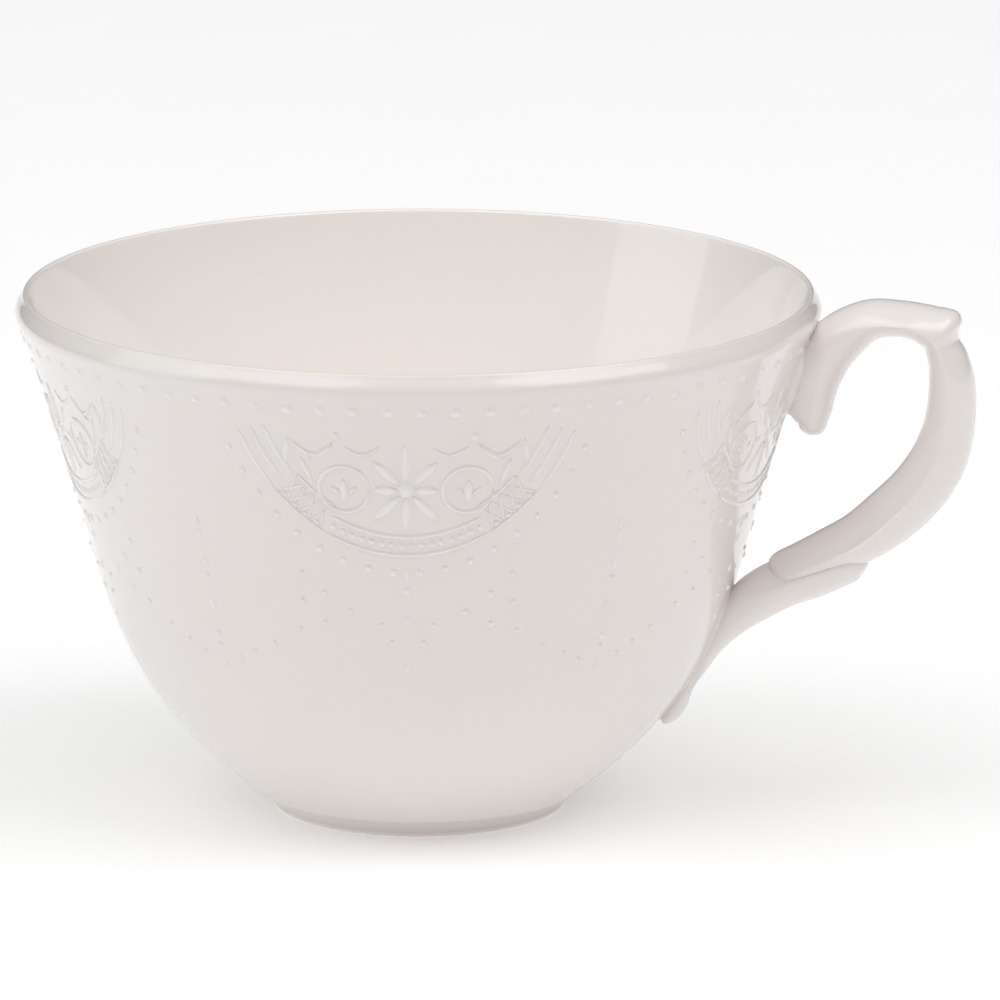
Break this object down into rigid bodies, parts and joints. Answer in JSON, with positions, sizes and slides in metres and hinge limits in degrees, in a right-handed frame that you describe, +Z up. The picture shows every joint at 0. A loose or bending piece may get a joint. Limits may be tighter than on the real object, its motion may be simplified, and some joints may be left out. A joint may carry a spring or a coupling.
{
  "type": "porcelain teacup",
  "caption": "Round porcelain teacup with a flared mouth, a scroll handle, a low foot ring and lace relief round the wall.",
  "frame": {"origin": "the bowl's axis on the surface that the foot stands on", "axes": "+Z up along the bowl's axis, +X from the axis through the handle"},
  "size_m": [0.1197, 0.1, 0.0662],
  "materials": {
    "porcelain": "glossy clear glaze over warm white porcelain",
    "foot_porcelain": "clear glaze, left bare and fine matt on the edge that it stands on",
    "slip": "the same white body under the same glaze",
    "relief_porcelain": "soft-edged relief under clear glaze"
  },
  "bodies": {
    "root": {"bowl": "porcelain", "foot_ring": "foot_porcelain", "handle": "porcelain", "upper_slip_joint": "slip", "lower_slip_joint": "slip", "rim_bead_row": "relief_porcelain", "lace_medallions": "relief_porcelain", "bead_garlands": "relief_porcelain"}
  },
  "joints": []
}
